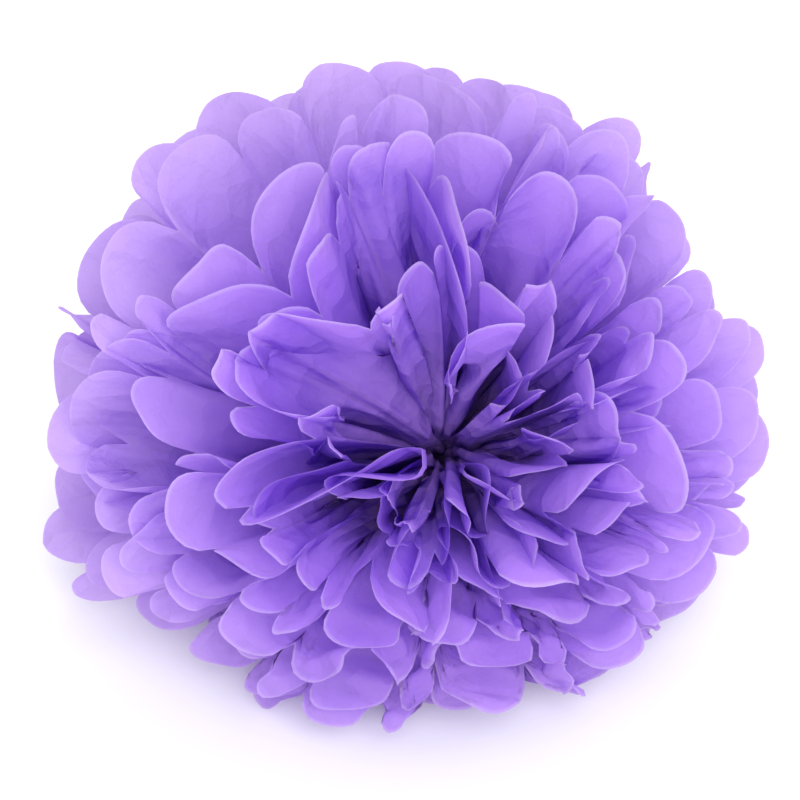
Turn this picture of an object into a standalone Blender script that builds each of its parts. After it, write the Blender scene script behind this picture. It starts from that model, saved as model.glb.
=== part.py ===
"""Tissue paper pom pom: twelve pleated sheets, gathered by one wire and fanned out into a ball.

Every sheet is the same cut: it is folded like an accordion with the others, its ends are trimmed round, the
wire pinches the stack, and each half opens into a fan of half a circle. The sheets then part from each other,
from the one at the heart, which stands almost along the pole axis, to the one at the far pole.

The ball rests on its side, with the heart leaning forward. Metres, +Z up, origin at the bottom centre.
"""

import math

import bmesh
import bpy
from mathutils import Matrix, Vector

# The cut sheet and how it is gathered.
SHEETS = 12
PANELS = 14  # panels between folds in each half fan
PANEL_WIDTH = 0.0355
UNEVEN = 0.22  # folds stray sideways by this share of a panel
PAPER = 0.0003  # thickness of the solid; real tissue is about a tenth of this
LEAST_OUTWARD = 0.2  # least share of the thickness that a corner gives to each face round it
OUTWARD_ROUNDS = 20
BALL_RADIUS = 0.1235  # from the middle of the cut sheet to its tips
TIE_OFF_CENTRE = 0.022  # the wire sits this far from the middle of the sheet
LOBE_DEPTH = 0.016  # how deep the rounded end of each panel is
LOBE_POINTS = (0.14, 0.5, 0.86)  # where the rounded end has its corners, across the panel
LOBE_SQUARENESS = 2.4
LOBE_FULLNESS = 0.7

# The waist under the wire, where the sheets lie on each other as small discs.
WAIST_RADIUS = 0.0045
WAIST_PITCH = 0.0007
SLIT_HALF = 0.0016  # half the width of the slit between the two fans
WIDEST_SLIT = 0.12  # beyond the waist, in radians to each side
WIRE_DIAMETER = 0.0008
WIRE_CLEARANCE = 0.0004
WIRE_TAIL = 0.012
WIRE_CORNER = 0.0022  # radius of its bends round the waist
WIRE_LEAD = 0.0012  # from the loop's side to where its two ends run straight
WIRE_BEND_STEPS = 4

# How the sheets part.
FIRST_LEAN_DEG = 76.0  # lean of the first sheet from the sheet plane, towards the pole
LAST_LEAN_DEG = -68.0
TURN_LENGTH = 0.030  # a sheet has turned to its own lean this far from the tie
PLEAT_LENGTH = 0.082  # the pleats have opened to their full depth this far from the tie
POLE_MARGIN_DEG = 4.5  # every fold stays this far from the pole axis
EDGE_PLEAT = 0.45  # the pleat at a fan's side edge is this share of a full one
PLEAT_VARIATION = 0.06
SHARED_WAVE_DEG = (3.5, 2.5)  # two and three waves round the pole, alike in every sheet
OWN_WAVE_DEG = 0.9
ROWS = (0.014, 0.034, 0.060, 0.085)  # distances from the tie of the rings of corners inside the notches

# How it lies.
POLE_ELEVATION_DEG = 50.0
WIRE_TURN_DEG = 38.0  # turn of the wire's line about the pole
TIE_HEIGHT = 0.0825  # before the bottom is pressed flat
PRESS_BELOW = 0.075
PRESS_SOFTNESS = 0.090
PRESS_SPREAD = 0.08
SINK = 0.0055  # this much of the pressed bottom is flat on the ground

MAUVE = (0.33, 0.17, 0.80, 1.0)
WIRE_GREY = (0.62, 0.62, 0.64, 1.0)


def scatter(*keys):
    """A repeatable number from -1 to 1 for these whole numbers."""
    mixed = sum((place + 1) * 12.9898 * key for place, key in enumerate(keys))
    return 2 * ((math.sin(mixed + 78.233) * 43758.5453) % 1.0) - 1


def smooth(share):
    """From 0 to 1 with a soft start and end."""
    share = min(max(share, 0.0), 1.0)
    return share * share * (3 - 2 * share)


def pole_frame():
    """The wire's direction, the longer fan's direction and the pole, as world vectors."""
    tilt = math.radians(POLE_ELEVATION_DEG)
    turn = math.radians(WIRE_TURN_DEG)
    right = Vector((1, 0, 0))
    rise = Vector((0, math.sin(tilt), math.cos(tilt)))
    wire = right * math.cos(turn) + rise * math.sin(turn)
    fan = rise * math.cos(turn) - right * math.sin(turn)
    return wire, fan, wire.cross(fan)


WIRE_AXIS, FAN_AXIS, POLE = pole_frame()


def azimuth(half, fold, level):
    """Direction of a fold round the pole. The folds are unevenly spread, alike in every sheet."""
    uneven = UNEVEN * scatter(half, fold) if 0 < fold < PANELS else 0.0
    slit = SLIT_HALF / level if level <= WAIST_RADIUS else min(SLIT_HALF / level, WIDEST_SLIT)
    edge = (fold == 0) - (fold == PANELS)
    return half * math.pi + math.pi * (fold + uneven) / PANELS + slit * edge


def reach(angle):
    """From the tie to the tip of a panel in this direction: the tie is off the middle of the sheet."""
    across = TIE_OFF_CENTRE * math.cos(angle)
    return TIE_OFF_CENTRE * math.sin(angle) + math.sqrt(BALL_RADIUS**2 - across**2)


def lean(sheet, angle):
    """How far the sheet has turned towards the pole, in radians, in this direction."""
    even = FIRST_LEAN_DEG + (LAST_LEAN_DEG - FIRST_LEAN_DEG) * sheet / (SHEETS - 1)
    two, three = SHARED_WAVE_DEG
    shared = two * math.sin(2 * angle + 0.8) + three * math.sin(3 * angle + 2.1)
    own = OWN_WAVE_DEG * (scatter(sheet, 7) + math.sin(4 * angle + 3 * scatter(sheet, 3)))
    return math.radians(even + shared * math.cos(math.radians(even)) + own)


def waist_height(sheet):
    """Level of the sheet's disc in the stack under the wire."""
    return WAIST_PITCH * ((SHEETS - 1) / 2 - sheet)


def fold_point(sheet, half, fold, distance):
    """A point of a fold line, relative to the tie, as wire, fan and pole coordinates."""
    angle = azimuth(half, fold, distance)
    if distance > WAIST_RADIUS:
        level = max(distance * math.cos(lean(sheet, angle)), 1.01 * WAIST_RADIUS)
        angle = azimuth(half, fold, level)
    flat = math.asin(waist_height(sheet) / math.hypot(WAIST_RADIUS, waist_height(sheet)))
    spread = smooth((distance - WAIST_RADIUS) / (TURN_LENGTH - WAIST_RADIUS))
    final = lean(sheet, angle)
    middle = flat + (final - flat) * spread
    chord = distance * math.cos(final) * math.pi / PANELS
    depth = math.sqrt(max(PANEL_WIDTH**2 - chord**2, 0.0)) / 2
    swing = depth / max(distance, PLEAT_LENGTH)
    swing *= smooth((distance - WAIST_RADIUS) / (PLEAT_LENGTH - WAIST_RADIUS))
    at_edge = fold in (0, PANELS)
    swing *= EDGE_PLEAT if at_edge else 1 + PLEAT_VARIATION * scatter(sheet, half, fold)
    rise = middle + (swing if fold % 2 == 0 else -swing)
    limit = math.radians(90 - POLE_MARGIN_DEG)
    rise = min(max(rise, -limit), limit)
    if distance <= WAIST_RADIUS:
        return Vector((distance * math.cos(angle), distance * math.sin(angle), waist_height(sheet)))
    level = distance * math.cos(rise)
    return Vector((level * math.cos(angle), level * math.sin(angle), distance * math.sin(rise)))


def pressed(local):
    """Puts a point in the world, with the bottom of the ball pressed flat and spread by its weight."""
    world = WIRE_AXIS * local.x + FAN_AXIS * local.y + POLE * local.z
    world.z += TIE_HEIGHT
    if world.z < PRESS_BELOW:
        depth = (PRESS_BELOW - world.z) / PRESS_SOFTNESS
        world.z = PRESS_BELOW - PRESS_SOFTNESS * (1 - math.exp(-depth))
        world.x *= 1 + PRESS_SPREAD * depth
        world.y *= 1 + PRESS_SPREAD * depth
    return world


def panel_end(sheet, half, fold):
    """The rounded end of the panel after this fold: points from its first notch to its second."""
    lengths = [reach(azimuth(half, at, BALL_RADIUS)) for at in (fold, fold + 1)]
    inner = [fold_point(sheet, half, fold + at, lengths[at] - 2 * LOBE_DEPTH) for at in (0, 1)]
    notch = [fold_point(sheet, half, fold + at, lengths[at] - LOBE_DEPTH) for at in (0, 1)]
    points = []
    for across in LOBE_POINTS:
        bulge = LOBE_DEPTH * (1 - abs(2 * across - 1) ** LOBE_SQUARENESS) ** LOBE_FULLNESS
        start = notch[0].lerp(notch[1], across)
        outward = (start - inner[0].lerp(inner[1], across)).normalized()
        points.append(start + outward * bulge)
    return points


def notch_distance(half, fold):
    """From the tie to the notch between two rounded ends."""
    return reach(azimuth(half, fold, BALL_RADIUS)) - LOBE_DEPTH


def sheet_surface(sheet):
    """The middle surface of one sheet: points and faces. Both fans grow from the disc under the wire."""
    points, faces, waist = [], [], []
    for half in (0, 1):
        folds = []
        for fold in range(PANELS + 1):
            distances = (WAIST_RADIUS, *ROWS, notch_distance(half, fold))
            line = [fold_point(sheet, half, fold, distance) for distance in distances]
            folds.append([len(points) + place for place in range(len(line))])
            points += line
        waist += [line[0] for line in folds]
        for fold in range(PANELS):
            first, second = folds[fold], folds[fold + 1]
            for row in range(len(ROWS) + 1):
                faces.append((first[row], first[row + 1], second[row + 1], second[row]))
            tips = panel_end(sheet, half, fold)
            numbers = [len(points) + place for place in range(len(tips))]
            points += tips
            faces.append((first[-1], *numbers, second[-1]))
    centre = len(points)
    points.append(Vector((0, 0, points[waist[0]].z)))
    for place, corner in enumerate(waist):
        faces.append((centre, corner, waist[(place + 1) % len(waist)]))
    return [pressed(point) for point in points], faces


def outward(corner):
    """A direction that leaves the upper side of every face round this corner."""
    way = corner.normal.copy()
    for _ in range(OUTWARD_ROUNDS):
        for face in corner.link_faces:
            short = LEAST_OUTWARD - way.dot(face.normal)
            if short > 0:
                way += face.normal * short
        way.normalize()
    return way


def thickened(mesh_name, points, faces):
    """A closed solid of the paper's thickness round the middle surface."""
    work = bmesh.new()
    corners = [work.verts.new(point) for point in points]
    for face in faces:
        work.faces.new([corners[number] for number in face])
    bmesh.ops.triangulate(work, faces=work.faces[:])
    work.normal_update()
    ways = [outward(corner) for corner in work.verts]
    upper = [corner.co + way * PAPER / 2 for corner, way in zip(work.verts, ways)]
    lower = [corner.co - way * PAPER / 2 for corner, way in zip(work.verts, ways)]
    count = len(upper)
    skin = [[corner.index for corner in face.verts] for face in work.faces]
    rims = [loop for edge in work.edges if edge.is_boundary for loop in edge.link_loops]
    walls = [(loop.vert.index, loop.link_loop_next.vert.index) for loop in rims]
    work.free()
    solid = [list(face) for face in skin]
    solid += [[number + count for number in reversed(face)] for face in skin]
    solid += [[b, a, a + count, b + count] for a, b in walls]
    mesh = bpy.data.meshes.new(mesh_name)
    mesh.from_pydata(upper + lower, [], solid)
    return mesh


def settled(mesh):
    """Flattens what is lower than the ground, and gives the paper its thickness back there."""
    half = len(mesh.vertices) // 2
    for number in range(half):
        one, other = mesh.vertices[number], mesh.vertices[number + half]
        low, high = (one, other) if one.co.z < other.co.z else (other, one)
        if low.co.z < 0:
            low.co.z = 0
            high.co.z = max(high.co.z, PAPER)
    mesh.update()


def material(name, colour, roughness, metallic=0.0):
    made = bpy.data.materials.new(name)
    made.use_nodes = True
    shader = made.node_tree.nodes["Principled BSDF"]
    shader.inputs["Base Color"].default_value = colour
    shader.inputs["Roughness"].default_value = roughness
    shader.inputs["Metallic"].default_value = metallic
    return made


def add_object(name, data, finish):
    made = bpy.data.objects.new(name, data)
    bpy.context.scene.collection.objects.link(made)
    data.materials.append(finish)
    return made


def wire_route():
    """The wire's line: out of its tail, once round the waist and back beside itself."""
    across = WAIST_RADIUS + WIRE_CLEARANCE + WIRE_DIAMETER / 2
    stack = WAIST_PITCH * (SHEETS - 1) / 2 + PAPER / 2
    over = stack + WIRE_CLEARANCE + WIRE_DIAMETER / 2
    apart = WIRE_DIAMETER / 2 + WIRE_CLEARANCE / 2
    lead = across + WIRE_LEAD
    route = [Vector((across + WIRE_TAIL, 0, apart)), Vector((lead, 0, apart))]
    centres = ((1, 1), (-1, 1), (-1, -1), (1, -1))
    for quarter, (side, level) in enumerate(centres):
        middle = Vector((side * (across - WIRE_CORNER), 0, level * (over - WIRE_CORNER)))
        for step in range(WIRE_BEND_STEPS + 1):
            turn = math.radians(90 * (quarter + step / WIRE_BEND_STEPS))
            route.append(middle + WIRE_CORNER * Vector((math.cos(turn), 0, math.sin(turn))))
    route += [Vector((lead, 0, -apart)), Vector((across + WIRE_TAIL, 0, -apart))]
    return route


def wire_curve():
    curve = bpy.data.curves.new("tie_wire", "CURVE")
    curve.dimensions = "3D"
    curve.bevel_depth = WIRE_DIAMETER / 2
    curve.bevel_resolution = 2
    curve.use_fill_caps = True
    route = [pressed(point) for point in wire_route()]
    spline = curve.splines.new("POLY")
    spline.points.add(len(route) - 1)
    for point, place in zip(spline.points, route):
        point.co = (*place, 1)
    return curve


def centre_on_origin(objects):
    """Moves the ball so that its box stands on the origin, with its lowest tips flattened on the ground."""
    corners = [vertex.co for made in objects if made.type == "MESH" for vertex in made.data.vertices]
    low = Vector([min(corner[axis] for corner in corners) for axis in range(3)])
    high = Vector([max(corner[axis] for corner in corners) for axis in range(3)])
    shift = Vector((-(low.x + high.x) / 2, -(low.y + high.y) / 2, -low.z - SINK))
    for made in objects:
        if made.type == "MESH":
            made.data.transform(Matrix.Translation(shift))
            settled(made.data)
        else:
            for point in made.data.splines[0].points:
                point.co = (*(Vector(point.co[:3]) + shift), 1)


def main():
    for old in list(bpy.data.objects):
        bpy.data.objects.remove(old)
    tissue = material("tissue_paper", MAUVE, 0.85)
    wire = material("wire", WIRE_GREY, 0.35, 1.0)
    made = []
    for sheet in range(SHEETS):
        points, faces = sheet_surface(sheet)
        name = f"tissue_sheet_{sheet + 1:02d}"
        made.append(add_object(name, thickened(name, points, faces), tissue))
    made.append(add_object("tie_wire", wire_curve(), wire))
    centre_on_origin(made)


main()
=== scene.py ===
"""Tissue paper pom pom: twelve gathered sheets of thin soft tissue with rounded petals, and their twisted wire tie.

Every sheet is one surface. Its two half fans hold fourteen panels each, and each panel ends in a rounded petal.
Lengths are in metres. A name that ends in _DEG holds degrees, and every other angle is in radians. The local
frame of the ball has the wire's line as x, the middle of the first fan as y and the pole of the flower as z.
"""

import math

import bpy
import numpy as np
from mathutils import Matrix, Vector


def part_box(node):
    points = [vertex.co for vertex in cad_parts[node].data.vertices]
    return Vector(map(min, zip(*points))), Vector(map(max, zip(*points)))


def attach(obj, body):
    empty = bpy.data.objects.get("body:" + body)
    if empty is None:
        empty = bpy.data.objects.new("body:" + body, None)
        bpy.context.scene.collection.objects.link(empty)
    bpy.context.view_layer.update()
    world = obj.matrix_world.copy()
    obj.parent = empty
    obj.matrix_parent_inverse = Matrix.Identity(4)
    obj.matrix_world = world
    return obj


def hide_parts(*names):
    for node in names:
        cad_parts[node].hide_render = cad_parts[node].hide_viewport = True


# The cut sheets.
SHEETS = 12
PANELS = 14  # in each half fan
PANEL_WIDTH = 0.0355
BALL_RADIUS = 0.1235
TIE_OFF_CENTRE = 0.022
LOBE_DEPTH = 0.0180  # of the rounded end of each panel
LOBE_SQUARENESS = 2.5
LOBE_FULLNESS = 0.62

# The gathered waist.
WAIST_RADIUS = 0.0045
WAIST_PITCH = 0.0007
TURN_LENGTH = 0.030  # a sheet has turned to its own lean this far from the tie
SLIT = 0.014  # between the two fans, to each side

# How the sheets are fluffed.
FIRST_LEAN_DEG = 72.0
LAST_LEAN_DEG = -67.0
LEAN_CROWDING = 1.22  # more sheets lie towards the heart
SHARED_LEAN_PHASES = (0.8, 2.1, 4.0)
SHARED_LEAN_DEG = (3.5, 2.5, 1.5)
OWN_LEAN_DEG = 2.4
STEEPEST_FOLD_DEG = 86
LEAST_PLEAT = 0.30  # share of a panel's width
PLEAT_ROOT = 0.026  # the pleats have their full depth this far from the tie
PLEAT_TAPER = 0.034
EDGE_SWING = 0.5
FIN_WIDTH = 0.75  # a ridge between panels narrower than this share is a fin
FIN_SWING = 0.55
FOLD_BLUR = (-0.16, -0.08, 0.0, 0.08, 0.16)  # in panels: rounds the folds off

# Paper taken up by ripples.
RIPPLES_ACROSS = 2.5
BUCKLE_PITCH = 0.016

# How the ball lies.
TIE_HEIGHT = 0.0825
PRESS_BELOW = 0.075
PRESS_SOFTNESS = 0.090
PRESS_SPREAD = 0.08
FRONT_SQUEEZE = 0.24
FRONT_LINE = -0.045
FRONT_BELOW = 0.115
FLOOR_LEVEL = 0.0003
FLOOR_SOFTNESS = 0.0015
LOWEST_PAPER = 0.0004
POLE_ELEVATION_DEG = 50.0
WIRE_TURN_DEG = 38.0
TIE_FROM_WIRE_CORNER = Vector((0.00450, 0.00520, 0.00545))

# The wire.
WIRE_RADIUS = 0.0004
WIRE_LOOP = (0.0053, 0.0047)  # half width and half height
WIRE_BEND = 0.0022
WIRE_TWIST_LENGTH = 0.0120
WIRE_TWISTS = 3
WIRE_STRAND = 0.00042  # from the axis of the twist to each strand

# Mesh steps of each panel.
ACROSS = 16
ALONG = 34

# Looks.
VIOLET = (0.440, 0.228, 0.835, 1)
LILAC = (0.500, 0.280, 0.855, 1)
# The next three set painted light: its pale tint, how strongly the petals' rims get a painted highlight, and how
# strongly the outside of the ball gets painted light.
PAINTED_LIGHT_TINT = (0.76, 0.62, 0.88, 1)
PAINTED_RIM_HIGHLIGHT = 0.60
PAINTED_OUTER_LIGHT_STRENGTH = 0.45
LIGHT_THROUGH = 0.50

FLOOR_HALF = 6.0
CAMERA_ELEVATION_DEG = 44
CAMERA_DISTANCE = 0.95
CAMERA_AIM = Vector((0.0, 0.0, 0.076))
CAMERA_HALF_VIEW = 0.1455  # tangent of half the angle of view


def pole_frame():
    """The local frame's three axes in the world, as rows."""
    tilt = math.radians(POLE_ELEVATION_DEG)
    turn = math.radians(WIRE_TURN_DEG)
    right = Vector((1, 0, 0))
    rise = Vector((0, math.sin(tilt), math.cos(tilt)))
    wire = right * math.cos(turn) + rise * math.sin(turn)
    fan = rise * math.cos(turn) - right * math.sin(turn)
    return np.array([wire, fan, wire.cross(fan)])


def smooth(share):
    """0 at 0 and 1 at 1, level at both ends."""
    share = np.clip(share, 0.0, 1.0)
    return share * share * (3 - 2 * share)


def reach(angle):
    """From the tie to the tip of a panel in this direction."""
    across = TIE_OFF_CENTRE * np.cos(angle)
    return TIE_OFF_CENTRE * np.sin(angle) + np.sqrt(BALL_RADIUS**2 - across**2)


def wave(angle, phases, strengths):
    """A smooth irregular number round the pole."""
    total = np.zeros_like(angle)
    for times, (phase, strength) in enumerate(zip(phases, strengths), start=2):
        total += strength * np.sin(times * angle + phase)
    return total


def either_way(own, count=None):
    return own.uniform(-1, 1, count)


class Fan:
    """One half fan of one sheet: where its folds run, and the shape of its petals."""

    def __init__(self, sheet, half, lean_over, own):
        place_in_stack = (sheet / (SHEETS - 1)) ** LEAN_CROWDING
        self.steep = FIRST_LEAN_DEG + (LAST_LEAN_DEG - FIRST_LEAN_DEG) * place_in_stack
        self.openness = math.cos(math.radians(self.steep))
        self.lively = 1.0 + 0.8 * (1 - self.openness) * (sheet < SHEETS / 2)
        self.height = WAIST_PITCH * ((SHEETS - 1) / 2 - sheet)
        self.place_folds(half, lean_over[half], own)
        self.bend_folds(half, own)
        self.shape_petals(half, own)

    def place_folds(self, half, lean_over, own):
        """Where the folds are round the pole: pleats laid over to one side, in wide and narrow groups."""
        seam = 0.04 + 0.22 * (1 - self.openness)
        laid_over = min(0.85 - 0.70 * self.openness + 0.45 * half, 0.90)
        grouping = (0.15 + 1.05 * (1 - self.openness)) * (0.45 + 0.60 * half) * own.choice((-1, 1))
        place = np.arange(PANELS + 1, dtype=float)
        place[2:-1:4] += grouping
        place[2:-1:2] += 0.16 * either_way(own, len(place[2:-1:2]))
        odd = np.arange(1, PANELS, 2)
        side = np.sign(lean_over[odd]) * own.uniform(0.6, 1.0, len(odd))
        split = 0.5 + 0.45 * laid_over * side + 0.07 * either_way(own, len(odd))
        split[[0, -1]] = 0.5 + 0.3 * (split[[0, -1]] - 0.5)
        place[odd] = place[odd - 1] + (place[odd + 1] - place[odd - 1]) * split
        turn = place / PANELS
        turn = turn - seam * np.sin(2 * math.pi * turn) / (2 * math.pi)
        self.azimuth = half * math.pi + SLIT + (math.pi - 2 * SLIT) * turn
        self.widths = np.diff(self.azimuth) * PANELS / math.pi
        spacing = math.pi / PANELS
        self.drift = spacing * (0.55 * either_way(own) + 0.28 * self.lively * either_way(own, PANELS + 1))
        self.drift[[0, -1]] = 0.0
        self.drift[[1, -2]] *= 0.4

    def bend_folds(self, half, own):
        """How far each fold leans, stands out of the sheet's cone and curls."""
        count = PANELS + 1
        shared = wave(self.azimuth, SHARED_LEAN_PHASES, SHARED_LEAN_DEG) * self.openness
        pulled = np.repeat(either_way(own, count), 2)[:count] * (3.0 + 4.0 * smooth((self.steep - 20) / 45))
        self.lean = np.radians(self.steep + shared + pulled + OWN_LEAN_DEG * either_way(own, count))
        self.swing = 0.94 - 0.14 * half + 0.16 * either_way(own, count)
        self.swing[[0, -1]] = EDGE_SWING
        fin = np.maximum(self.widths[1:], self.widths[:-1]) < FIN_WIDTH
        self.swing[1:-1][fin & (np.arange(1, PANELS) % 2 == 0)] *= FIN_SWING
        self.curl = np.radians(own.normal(2.0, 6.0 * self.lively, count))
        self.curl[[0, 1, -2, -1]] *= 0.4
        self.late = np.radians(own.normal(0.0, 5.0, count))
        self.relax = 0.50 if half else 0.35

    def shape_petals(self, half, own):
        """The hollow, twist, length and rounded end of each petal."""
        self.dome = 1 + 1.1 * np.clip(self.widths - 1.0, 0, 0.8)
        self.cup = own.normal(0.0030, 0.0030 * self.lively, PANELS)
        self.twist = own.normal(0.0, 0.0050 * self.lively, PANELS)
        self.length = 1 + 0.035 * either_way(own, PANELS)
        self.skew = own.uniform(-0.10, 0.10, PANELS)
        self.depth = LOBE_DEPTH * own.uniform(0.85, 1.20, PANELS)
        self.depth *= 0.45 + 0.55 * np.clip(self.widths / 0.5, 0, 1)
        self.depth[[0, -1]] *= 0.6
        self.phase = own.uniform(0, 2 * math.pi, (PANELS, 3))

    def fold_swing(self, distance, share):
        """The angle by which each fold stands out of the sheet's cone: folds by distances."""
        chords = distance[None] * np.cos(self.lean[:-1, None]) * np.diff(self.azimuth)[:, None]
        depths = np.sqrt(np.maximum(PANEL_WIDTH**2 - chords**2, (LEAST_PLEAT * PANEL_WIDTH) ** 2))
        depth = np.empty((PANELS + 1, len(distance)))
        shallow = np.minimum(depths[1:], depths[:-1])
        depth[1:-1] = 0.85 * shallow + 0.15 * np.maximum(depths[1:], depths[:-1])
        depth[0], depth[-1] = depths[0], depths[-1]
        swing = depth / 2 / np.maximum(distance, PLEAT_TAPER)[None]
        swing *= smooth((distance - WAIST_RADIUS) / PLEAT_ROOT)[None] * self.swing[:, None]
        return swing * (1 - self.relax * smooth((share - 0.45) / 0.45))

    def fold_lines(self, distance):
        """Points of the fold lines at these distances from the tie: folds by distances by 3."""
        flat = math.asin(self.height / math.hypot(WAIST_RADIUS, self.height))
        spread = smooth((distance - WAIST_RADIUS) / (TURN_LENGTH - WAIST_RADIUS))[None]
        share = (distance / BALL_RADIUS)[None]
        sign = np.where(np.arange(PANELS + 1) % 2 == 0, 1.0, -1.0)[:, None]
        bent = self.curl[:, None] * smooth((share - 0.55) / 0.5)
        bent = bent + self.late[:, None] * np.sin(math.pi * np.clip(share, 0, 1)) * 0.5
        rise = flat + (self.lean[:, None] - flat) * spread
        rise = rise + sign * self.fold_swing(distance, share) - bent * spread
        limit = math.radians(STEEPEST_FOLD_DEG)
        rise = np.clip(rise, -limit, limit)
        angle = self.azimuth[:, None] + self.drift[:, None] * share**2
        level = distance[None] * np.cos(rise)
        return np.stack([level * np.cos(angle), level * np.sin(angle), distance[None] * np.sin(rise)], -1)

    def grid(self):
        """Points of the fan, steps across the panels by steps along them by 3, and their distances from the tie."""
        place = np.arange(PANELS * ACROSS + 1) / ACROSS
        panel = np.minimum(place.astype(int), PANELS - 1)
        across = place - panel
        along = np.linspace(0, 1, ALONG + 1) ** 0.85
        end = self.panel_end(place, panel, across)
        distance = WAIST_RADIUS + (end - WAIST_RADIUS)[:, None] * along[None]
        table = np.linspace(WAIST_RADIUS, BALL_RADIUS * 1.25, 90)
        lines = self.fold_lines(table)
        fade = np.minimum(1.0, np.minimum(place, PANELS - place) / FOLD_BLUR[-1])
        points = np.zeros((*distance.shape, 3))
        for offset in FOLD_BLUR:
            at = np.clip(place + offset * fade, 0, PANELS)
            points += self.between_folds(at, lines, table, distance) / len(FOLD_BLUR)
        return self.shaped(points, panel, across, along), distance

    def panel_end(self, place, panel, across):
        """The distance from the tie to the trimmed edge."""
        skewed = np.clip(across + self.skew[panel] * across * (1 - across) * 4, 0, 1)
        round_end = 1 - np.abs(2 * skewed - 1) ** LOBE_SQUARENESS
        bulge = self.depth[panel] * np.clip(round_end, 0, 1) ** LOBE_FULLNESS
        notch = reach(np.interp(place, np.arange(PANELS + 1), self.azimuth)) - LOBE_DEPTH
        return notch * np.interp(place, np.arange(PANELS) + 0.5, self.length) + bulge

    def between_folds(self, at, lines, table, distance):
        """Points on the panels: a wide panel is domed, and turns down towards its lower fold."""
        first = np.minimum(at.astype(int), PANELS - 1)
        part = at - first
        start = self.sample(lines, table, first, distance)
        gap = self.sample(lines, table, first + 1, distance) - start
        heading = np.interp(at, np.arange(PANELS + 1), self.azimuth)
        tangent = np.stack([-np.sin(heading), np.cos(heading), np.zeros_like(heading)], -1)[:, None]
        round_it = (gap * tangent).sum(-1, keepdims=True) * tangent
        climb = gap - round_it
        power = self.dome[first]
        from_top = first % 2 == 0
        drop = np.where(from_top, part**power, 1 - (1 - part) ** power)[:, None, None]
        sweep = 1 + 0.5 * (power - 1)
        turn = np.where(from_top, 1 - (1 - part) ** sweep, part**sweep)[:, None, None]
        return start + round_it * turn + climb * drop

    @staticmethod
    def sample(lines, table, fold, distance):
        """The fold lines' points at these distances, by straight interpolation in the table."""
        spot = (distance - table[0]) / (table[1] - table[0])
        low = np.clip(spot.astype(int), 0, len(table) - 2)
        part = (spot - low)[..., None]
        rows = np.broadcast_to(fold[:, None], distance.shape)
        return lines[rows, low] * (1 - part) + lines[rows, low + 1] * part

    def shaped(self, points, panel, across, along):
        """Adds the hollow, the twist and the soft waves of each petal."""
        width = np.linalg.norm(np.gradient(points, axis=0), axis=-1) * ACROSS / PANEL_WIDTH
        dome = 4 * across * (1 - across)
        grown = smooth(along / 0.9) ** 1.5
        lift = self.cup[panel][:, None] * dome[:, None] * grown[None]
        lift += self.twist[panel][:, None] * ((across - 0.5) * dome)[:, None] * grown[None] * 2
        phase = self.phase[panel]
        lengthwise = np.sin(2 * math.pi * (1.5 * across + 0.3)[:, None] + phase[:, :1] + 2.2 * along[None])
        lift += 0.0006 * dome[:, None] * grown[None] * lengthwise
        wavy = np.sin(9.0 * along[None] + phase[:, 1:2])
        wavy = wavy * np.cos(2 * math.pi * across[:, None] + phase[:, 2:])
        lift += 0.0007 * dome[:, None] * grown[None] * wavy
        return points + normals(points) * (lift * np.clip(width, 0, 1))[..., None]


def normals(grid):
    """Unit normals of a grid of points, on the side away from the pole."""
    made = np.cross(np.gradient(grid, axis=0), np.gradient(grid, axis=1))
    return made / np.maximum(np.linalg.norm(made, axis=-1, keepdims=True), 1e-9)


def crumpled(grid, distance, own):
    """Stores paper that the gathers and the pressing take up as small ripples, so that little of it is lost."""
    rows, columns = grid.shape[:2]
    across = np.linalg.norm(np.diff(grid, axis=0), axis=-1)
    width = across.reshape(PANELS, ACROSS, columns).sum(axis=1)
    spare = np.clip(PANEL_WIDTH / np.maximum(width, 1e-4), 1.0, 2.6)
    spare = np.vstack([np.repeat(spare, ACROSS, axis=0), spare[-1:]])
    width = np.vstack([np.repeat(width, ACROSS, axis=0), width[-1:]])
    share = distance / BALL_RADIUS
    bunched = smooth((spare - 1.25) / 0.6)
    inner = 1 - (1 - 0.55 * bunched) * smooth((share - 0.50) / 0.30)
    height = 1.15 * width / RIPPLES_ACROSS / (2 * math.pi) * np.sqrt(2 * (spare**2 - 1)) * inner
    place = (np.arange(rows) / ACROSS)[:, None]
    bend = 0.5 * np.sin(12 * share + 2 * place + own.uniform(0, 6))
    ripple = height * np.sin(2 * math.pi * RIPPLES_ACROSS * place + bend + own.uniform(0, 6))
    length = np.linalg.norm(np.gradient(grid, axis=1), axis=-1)
    slack = np.clip(np.gradient(distance, axis=1) / np.maximum(length, 1e-5), 1.0, 1.8)
    buckle = BUCKLE_PITCH / (2 * math.pi) * np.sqrt(2 * (slack**2 - 1)) * smooth(share / 0.3)
    buckle *= 1 - 0.8 * smooth((share - 0.86) / 0.1)
    sway = 1.5 * np.sin(1.7 * place + own.uniform(0, 6))
    ripple = ripple + buckle * np.sin(2 * math.pi * distance / BUCKLE_PITCH + sway)
    made = grid + normals(grid) * ripple[..., None]
    made[..., 2] = np.maximum(made[..., 2], LOWEST_PAPER)
    return made


def pressed(local, axes, tie):
    """World positions, with the bottom and the low front pressed by the ball's weight."""
    world = local.reshape(-1, 3) @ axes
    height = world[:, 2] + TIE_HEIGHT
    depth = np.maximum(PRESS_BELOW - height, 0) / PRESS_SOFTNESS
    low = PRESS_BELOW - PRESS_SOFTNESS * (1 - np.exp(-depth))
    world[:, 2] = np.where(depth > 0, low, height) - TIE_HEIGHT
    world[:, :2] *= (1 + PRESS_SPREAD * depth)[:, None]
    world += np.array(tie)
    low_down = smooth((FRONT_BELOW - world[:, 2]) / 0.080)
    world[:, 1] -= FRONT_SQUEEZE * low_down * np.minimum(world[:, 1] - FRONT_LINE, 0)
    over_floor = (world[:, 2] - FLOOR_LEVEL) / FLOOR_SOFTNESS
    world[:, 2] = FLOOR_LEVEL + FLOOR_SOFTNESS * np.logaddexp(0, over_floor)
    return world.reshape(local.shape)


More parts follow.
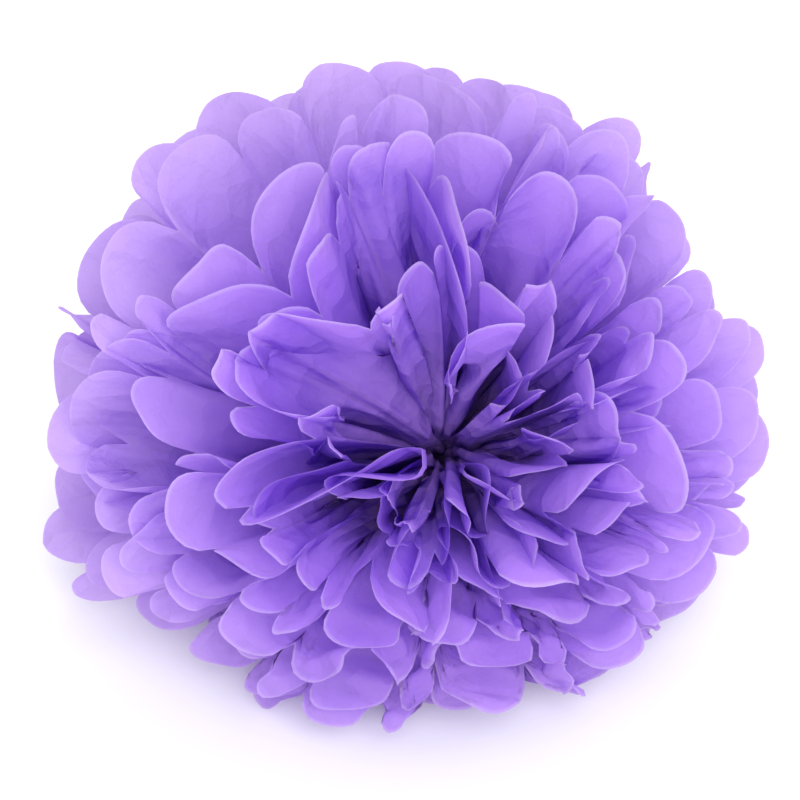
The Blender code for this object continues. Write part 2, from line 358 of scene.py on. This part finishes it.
def sheet_mesh(sheet, lean_over, axes, tie):
    """Both half fans of a sheet and the small disc between them under the wire."""
    points, faces, tips, rings = [], [], [], []
    own = np.random.default_rng(100 + sheet)
    for half in (0, 1):
        grid, distance = Fan(sheet, half, lean_over, own).grid()
        grid = crumpled(pressed(grid, axes, tie), distance, own)
        rows, columns = grid.shape[:2]
        numbers = sum(map(len, points)) + np.arange(rows * columns).reshape(rows, columns)
        points.append(grid.reshape(-1, 3))
        tips.append(np.broadcast_to(np.linspace(0, 1, columns), (rows, columns)).reshape(-1))
        corners = (numbers[:-1, :-1], numbers[:-1, 1:], numbers[1:, 1:], numbers[1:, :-1])
        faces += np.stack(corners, -1).reshape(-1, 4).tolist()
        rings.append(numbers[:, 0])
    world = np.concatenate(points)
    ring = np.concatenate(rings)
    faces += [[len(world), int(a), int(b)] for a, b in zip(ring, np.roll(ring, -1))]
    world = np.vstack([world, world[ring].mean(axis=0)])
    away = (world - np.array(tie)) @ axes.T
    # Painted light: the paper is painted paler further from the pole, on the outside of the ball.
    painted_outer_light = PAINTED_OUTER_LIGHT_STRENGTH * smooth((np.hypot(away[:, 0], away[:, 1]) - 0.055) / 0.080)
    mesh = bpy.data.meshes.new(f"sheet_{sheet + 1:02d}_tissue")
    mesh.from_pydata(world.tolist(), [], faces)
    for name, values in (("tip", np.append(np.concatenate(tips), 0.0)), ("painted_outer_light", painted_outer_light)):
        mesh.attributes.new(name, "FLOAT", "POINT").data.foreach_set("value", values.astype(np.float32))
    mesh.polygons.foreach_set("use_smooth", [True] * len(mesh.polygons))
    mesh.update()
    return mesh


def new_node(material, kind, **settings):
    """A shader node whose named inputs are set. An input's name has _ where its label has a space."""
    node = material.node_tree.nodes.new(kind)
    for name, value in settings.items():
        node.inputs[name.replace("_", " ")].default_value = value
    return node


def empty_material(name):
    made = bpy.data.materials.new(name)
    made.use_nodes = True
    return made


def tissue_colour(made, place):
    """Violet clouds, with a painted highlight on the petals' rims and painted light paling the outside of the ball.
    """
    links = made.node_tree.links
    cloud = new_node(made, "ShaderNodeTexNoise", Scale=22, Detail=2)
    links.new(place.outputs["Object"], cloud.inputs["Vector"])
    ramp = new_node(made, "ShaderNodeValToRGB")
    for element, (position, colour) in zip(ramp.color_ramp.elements, ((0.3, VIOLET), (0.7, LILAC))):
        element.position = position
        element.color = colour
    links.new(cloud.outputs["Fac"], ramp.inputs["Fac"])
    # Painted highlight: the last sliver of each petal towards its trimmed end is painted pale.
    tip = new_node(made, "ShaderNodeAttribute")
    tip.attribute_name = "tip"
    edge = new_node(made, "ShaderNodeMapRange", From_Min=0.975, From_Max=1.0, To_Max=PAINTED_RIM_HIGHLIGHT)
    links.new(tip.outputs["Fac"], edge.inputs["Value"])
    # Painted light: the outside of the ball is painted pale.
    painted_outer_light = new_node(made, "ShaderNodeAttribute")
    painted_outer_light.attribute_name = "painted_outer_light"
    # The painted highlight and the painted light together set how far the colour is mixed towards the pale painted
    # tint.
    both = new_node(made, "ShaderNodeMath")
    both.operation = "MAXIMUM"
    links.new(edge.outputs["Result"], both.inputs[0])
    links.new(painted_outer_light.outputs["Fac"], both.inputs[1])
    painted_light_mix = new_node(made, "ShaderNodeMix")
    painted_light_mix.data_type = "RGBA"
    painted_light_mix.inputs["B"].default_value = PAINTED_LIGHT_TINT
    links.new(both.outputs["Value"], painted_light_mix.inputs["Factor"])
    links.new(ramp.outputs["Color"], painted_light_mix.inputs["A"])
    return painted_light_mix.outputs["Result"]


def tissue_material():
    made = empty_material("tissue")
    links = made.node_tree.links
    made.node_tree.nodes.clear()
    output = new_node(made, "ShaderNodeOutputMaterial")
    place = new_node(made, "ShaderNodeTexCoord")
    colour = tissue_colour(made, place)
    fibre = new_node(made, "ShaderNodeTexNoise", Scale=200, Detail=3)
    crease = new_node(made, "ShaderNodeTexVoronoi", Scale=80)
    for texture in (fibre, crease):
        links.new(place.outputs["Object"], texture.inputs["Vector"])
    creased = new_node(made, "ShaderNodeBump", Strength=0.65, Distance=0.0045)
    links.new(crease.outputs["Distance"], creased.inputs["Height"])
    bump = new_node(made, "ShaderNodeBump", Strength=0.55, Distance=0.0020)
    links.new(fibre.outputs["Fac"], bump.inputs["Height"])
    links.new(creased.outputs["Normal"], bump.inputs["Normal"])
    rough = new_node(made, "ShaderNodeMapRange", To_Min=0.72, To_Max=0.92)
    links.new(fibre.outputs["Fac"], rough.inputs["Value"])
    front = new_node(made, "ShaderNodeBsdfPrincipled", Specular_IOR_Level=0.2)
    through = new_node(made, "ShaderNodeBsdfTranslucent")
    links.new(colour, front.inputs["Base Color"])
    links.new(colour, through.inputs["Color"])
    links.new(rough.outputs["Result"], front.inputs["Roughness"])
    for shader in (front, through):
        links.new(bump.outputs["Normal"], shader.inputs["Normal"])
    mix = new_node(made, "ShaderNodeMixShader", Fac=LIGHT_THROUGH)
    links.new(front.outputs["BSDF"], mix.inputs[1])
    links.new(through.outputs["BSDF"], mix.inputs[2])
    links.new(mix.outputs["Shader"], output.inputs["Surface"])
    return made


def wire_material():
    made = empty_material("wire")
    links = made.node_tree.links
    shader = made.node_tree.nodes["Principled BSDF"]
    shader.inputs["Metallic"].default_value = 1.0
    noise = new_node(made, "ShaderNodeTexNoise", Scale=900)
    ramp = new_node(made, "ShaderNodeValToRGB")
    ramp.color_ramp.elements[0].color = (0.45, 0.45, 0.47, 1)
    ramp.color_ramp.elements[1].color = (0.72, 0.72, 0.74, 1)
    rough = new_node(made, "ShaderNodeMapRange", To_Min=0.25, To_Max=0.5)
    bump = new_node(made, "ShaderNodeBump", Strength=0.1, Distance=0.0001)
    links.new(noise.outputs["Fac"], ramp.inputs["Fac"])
    links.new(noise.outputs["Fac"], rough.inputs["Value"])
    links.new(noise.outputs["Fac"], bump.inputs["Height"])
    links.new(ramp.outputs["Color"], shader.inputs["Base Color"])
    links.new(rough.outputs["Result"], shader.inputs["Roughness"])
    links.new(bump.outputs["Normal"], shader.inputs["Normal"])
    return made


def wire_curve(axes, tie):
    """One wire: a loop round the waist whose two ends are twisted together beside it."""
    across, over = WIRE_LOOP
    loop = []
    for quarter, (side, level) in enumerate(((1, 1), (-1, 1), (-1, -1), (1, -1))):
        for turn in np.radians(90 * quarter + np.linspace(0, 90, 9)):
            loop.append((side * (across - WIRE_BEND) + WIRE_BEND * math.cos(turn), 0.0,
                         level * (over - WIRE_BEND) + WIRE_BEND * math.sin(turn)))
    twist = np.linspace(0, 1, 60)
    spin = 2 * math.pi * WIRE_TWISTS * twist + math.pi / 2
    reach_out = across + WIRE_RADIUS + WIRE_TWIST_LENGTH * twist
    one = np.stack([reach_out, WIRE_STRAND * np.cos(spin), WIRE_STRAND * np.sin(spin)], -1)
    other = one * np.array([1, -1, -1])
    route = np.vstack([one[::-1], np.array(loop), other])
    curve = bpy.data.curves.new("tie_wire_visual", "CURVE")
    curve.dimensions = "3D"
    curve.bevel_depth = WIRE_RADIUS
    curve.bevel_resolution = 4
    curve.use_fill_caps = True
    spline = curve.splines.new("POLY")
    spline.points.add(len(route) - 1)
    for point, spot in zip(spline.points, route @ axes + np.array(tie)):
        point.co = (*spot, 1)
    return curve


def add(name, data, material):
    made = bpy.data.objects.new(name, data)
    bpy.context.scene.collection.objects.link(made)
    data.materials.append(material)
    return made


def build_pom_pom():
    axes = pole_frame()
    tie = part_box("tie_wire")[0] + TIE_FROM_WIRE_CORNER
    lean_over = np.random.default_rng(5).uniform(-0.3, 1, (2, PANELS + 1))
    wire = add("tie_wire_twisted", wire_curve(axes, tie), wire_material())
    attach(wire, "root")
    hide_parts("tie_wire")
    tissue = tissue_material()
    for sheet in range(SHEETS):
        made = add(f"sheet_{sheet + 1:02d}_tissue", sheet_mesh(sheet, lean_over, axes, tie), tissue)
        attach(made, "root")
        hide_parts(f"tissue_sheet_{sheet + 1:02d}")


def build_stage():
    mesh = bpy.data.meshes.new("floor")
    corners = [(x * FLOOR_HALF, y * FLOOR_HALF, 0) for x, y in ((-1, -1), (1, -1), (1, 1), (-1, 1))]
    mesh.from_pydata(corners, [], [(0, 1, 2, 3)])
    white = empty_material("floor_white")
    shader = white.node_tree.nodes["Principled BSDF"]
    shader.inputs["Base Color"].default_value = (0.93, 0.93, 0.94, 1)
    shader.inputs["Roughness"].default_value = 0.9
    add("floor", mesh, white)


def add_light(name, place, aim, size, power):
    data = bpy.data.lights.new(name, "AREA")
    data.shape = "DISK"
    data.size = size
    data.energy = power
    light = bpy.data.objects.new(name, data)
    light.location = place
    light.rotation_euler = (Vector(aim) - Vector(place)).to_track_quat("-Z", "Y").to_euler()
    bpy.context.scene.collection.objects.link(light)


def build_light():
    """A white room with a soft light from behind and above, and another from the front."""
    scene = bpy.context.scene
    scene.world = bpy.data.worlds.new("studio")
    scene.world.use_nodes = True
    background = scene.world.node_tree.nodes["Background"]
    background.inputs["Color"].default_value = (1.0, 1.0, 1.0, 1)
    background.inputs["Strength"].default_value = 1.0
    add_light("key", (0.10, 0.45, 1.35), (0, 0, 0.1), 0.8, 4)
    add_light("fill", (0.20, -1.05, 1.10), (0, 0, 0.08), 1.1, 14)
    scene.view_settings.view_transform = "Standard"
    scene.cycles.max_bounces = 6
    scene.cycles.diffuse_bounces = 5
    scene.cycles.transmission_bounces = 5


def build_camera():
    data = bpy.data.cameras.new("camera")
    data.lens = 36 / (2 * CAMERA_HALF_VIEW)
    camera = bpy.data.objects.new("camera", data)
    bpy.context.scene.collection.objects.link(camera)
    elevation = math.radians(CAMERA_ELEVATION_DEG)
    away = Vector((0.0, -math.cos(elevation), math.sin(elevation)))
    camera.location = CAMERA_AIM + away * CAMERA_DISTANCE
    camera.rotation_euler = (-away).to_track_quat("-Z", "Y").to_euler()
    bpy.context.scene.camera = camera


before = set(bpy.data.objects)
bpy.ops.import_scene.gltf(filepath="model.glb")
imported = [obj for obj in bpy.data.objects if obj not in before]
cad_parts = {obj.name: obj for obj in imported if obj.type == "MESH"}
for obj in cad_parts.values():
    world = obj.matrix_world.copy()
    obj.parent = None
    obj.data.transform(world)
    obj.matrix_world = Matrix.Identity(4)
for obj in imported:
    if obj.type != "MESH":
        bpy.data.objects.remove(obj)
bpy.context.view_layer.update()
build_pom_pom()
build_stage()
build_light()
build_camera()
